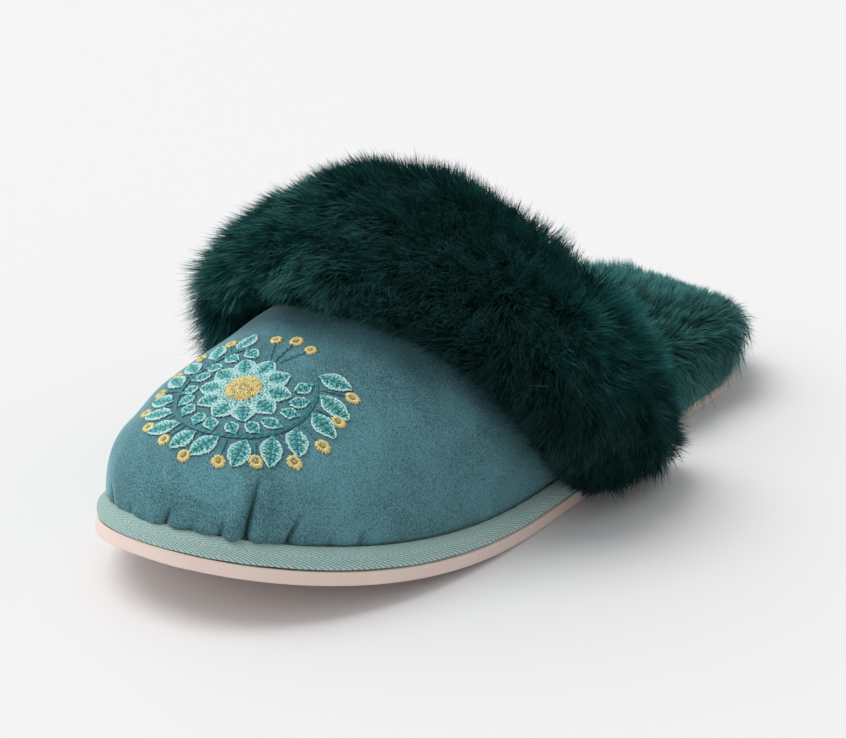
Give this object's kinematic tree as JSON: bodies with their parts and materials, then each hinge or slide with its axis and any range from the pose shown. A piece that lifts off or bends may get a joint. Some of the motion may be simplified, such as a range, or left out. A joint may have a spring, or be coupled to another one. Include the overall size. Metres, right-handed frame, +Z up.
{
  "type": "house slipper",
  "caption": "Open-backed house slipper with a hollow velvet vamp, a deep fur cuff, a fur footbed and a taped platform sole that is sprung at the toe.",
  "frame": {"origin": "on the floor, under the middle of the outsole's outline, in its flat underside", "axes": "+Y points to the heel and -Y to the toe, +X to the outer side of the left foot, +Z up"},
  "size_m": [0.1296, 0.2535, 0.0905],
  "materials": {
    "outsole": "satin, moulded",
    "midsole": "matte foam",
    "binding": "herringbone woven tape",
    "footbed": "faux fur",
    "upper": "velvet",
    "cuff": "long faux fur"
  },
  "bodies": {
    "root": {"outsole": "outsole", "midsole": "midsole", "binding": "binding", "footbed": "footbed", "upper": "upper", "cuff": "cuff"}
  },
  "joints": []
}
